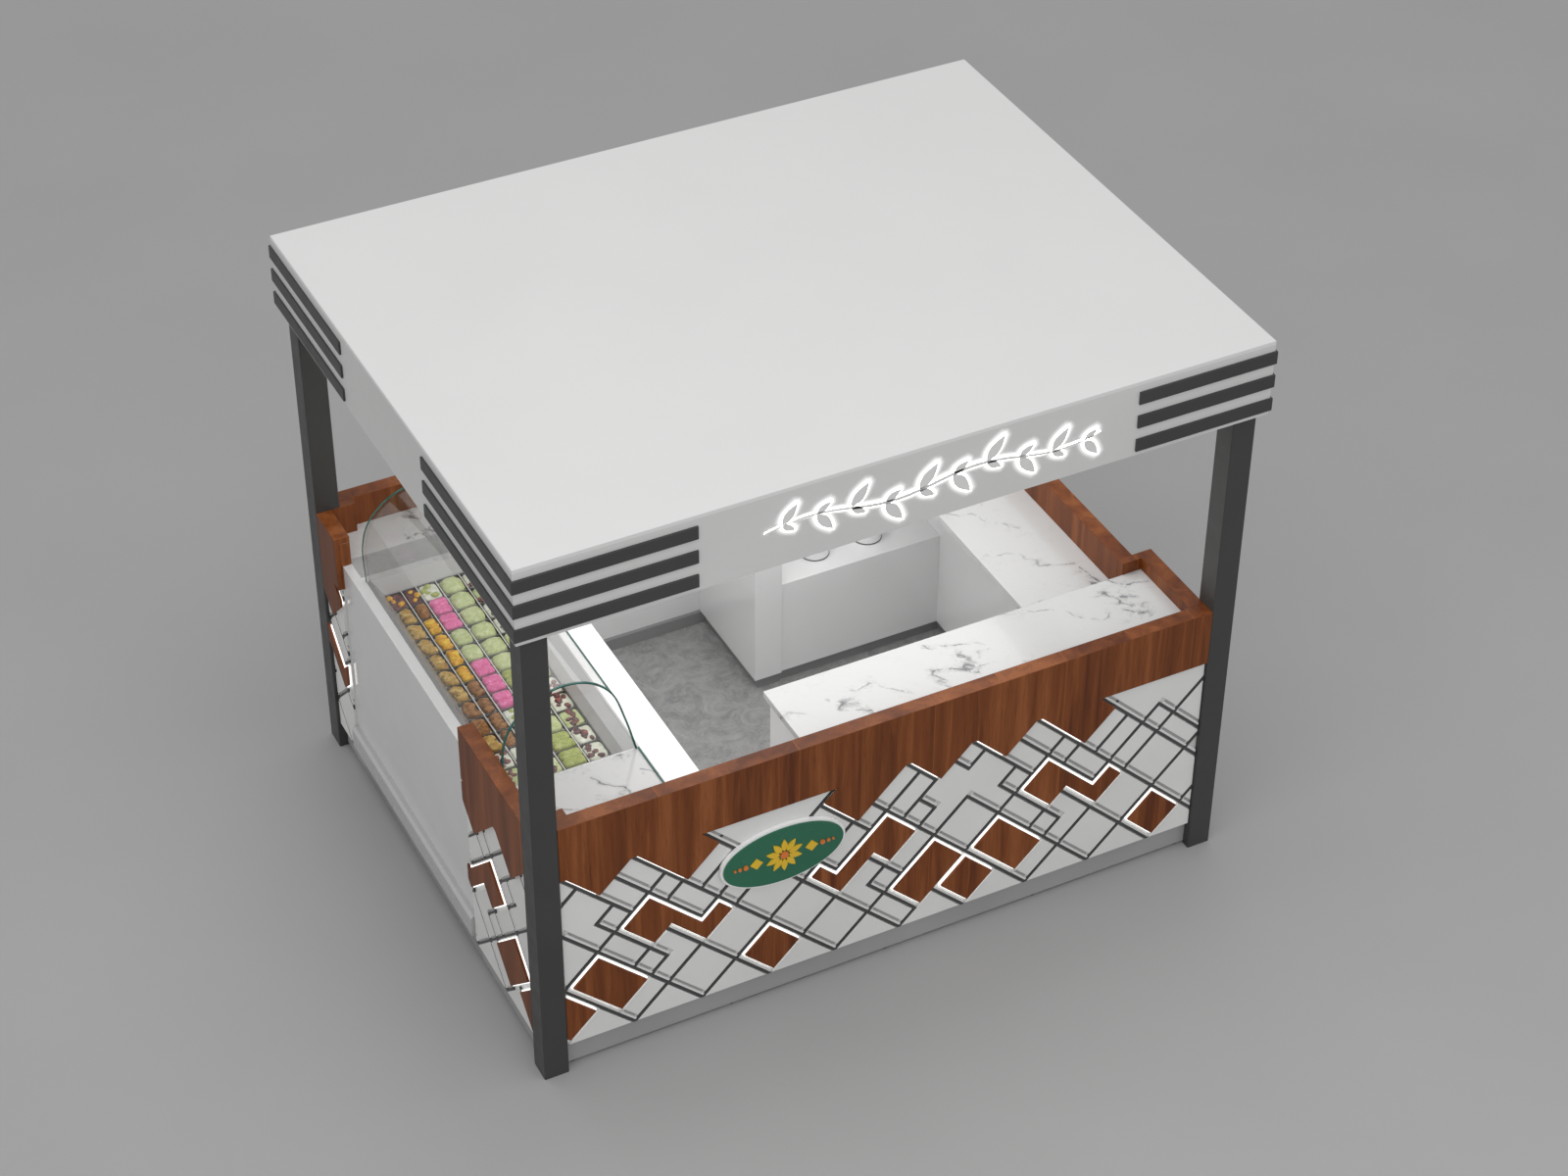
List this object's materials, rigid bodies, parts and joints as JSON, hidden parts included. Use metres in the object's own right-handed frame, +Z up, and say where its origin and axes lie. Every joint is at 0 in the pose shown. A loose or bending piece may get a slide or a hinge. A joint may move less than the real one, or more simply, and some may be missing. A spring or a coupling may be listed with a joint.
{
  "type": "street kiosk",
  "caption": "Rectangular street kiosk: flat roof on corner posts with wrapped fascia bars, waist-high lattice and wood walls, inner counters and a curved-glass food display.",
  "frame": {"origin": "centre of the footprint at ground level", "axes": "+X to the right along the long front, +Y towards the back, +Z up; the lattice front faces -Y and the food display is along the -X side"},
  "size_m": [3.016, 2.306, 2.46],
  "materials": {
    "anthracite": "satin",
    "clear_glass": "clear, green edges",
    "dark_rubber": "matt",
    "fascia_grey": "satin",
    "floor_grey": "mottled, matt",
    "food": "soft, mixed colours",
    "glow": "translucent, lit from behind",
    "kick_grey": "satin",
    "marble": "polished, grey veins",
    "roof_white": "satin",
    "steel": "brushed",
    "timber": "sawn",
    "wall_panel": "satin",
    "white_gloss": "gloss",
    "wood": "satin lacquer, vertical grain"
  },
  "bodies": {
    "root": {"back_kick_boards": "kick_grey", "back_lattice": "anthracite", "back_panel": "wall_panel", "back_wood_band": "wood", "ceiling_panel": "roof_white", "corner_bars": "anthracite", "curved_glass": "clear_glass", "display_base": "kick_grey", "display_body": "white_gloss", "display_front_panel": "white_gloss", "display_lip": "white_gloss", "display_marble_ends": "marble", "display_plinth": "white_gloss", "display_skirting": "kick_grey", "display_top_frame": "white_gloss", "display_well": "white_gloss", "end_glasses": "clear_glass", "fascia_back": "fascia_grey", "fascia_front": "fascia_grey", "fascia_left": "fascia_grey", "fascia_right": "fascia_grey", "floor_deck": "floor_grey", "food_portions": "food", "front_bar_carcass": "white_gloss", "front_bar_top": "marble", "front_kick_boards": "kick_grey", "front_lattice": "anthracite", "front_panel": "wall_panel", "front_wood_band": "wood", "glow_bodies": "glow", "left_kick_boards": "kick_grey", "left_lattice": "anthracite", "left_linings": "white_gloss", "left_panel": "wall_panel", "left_wood_band": "wood", "levelling_feet": "dark_rubber", "lidded_drums": "white_gloss", "low_unit": "white_gloss", "pan_dividers": "steel", "post_back_left": "anthracite", "post_back_right": "anthracite", "post_front_left": "anthracite", "post_front_right": "anthracite", "right_cabinet": "white_gloss", "right_kick_boards": "kick_grey", "right_lattice": "anthracite", "right_panel": "wall_panel", "right_return": "wood", "right_wood_band": "wood", "right_worktop": "marble", "roof_deck": "roof_white", "roof_joists": "timber", "room_lining": "white_gloss", "service_shelf": "white_gloss", "tall_unit": "white_gloss", "unit_skirting": "kick_grey", "wood_tiles": "wood"}
  },
  "joints": []
}
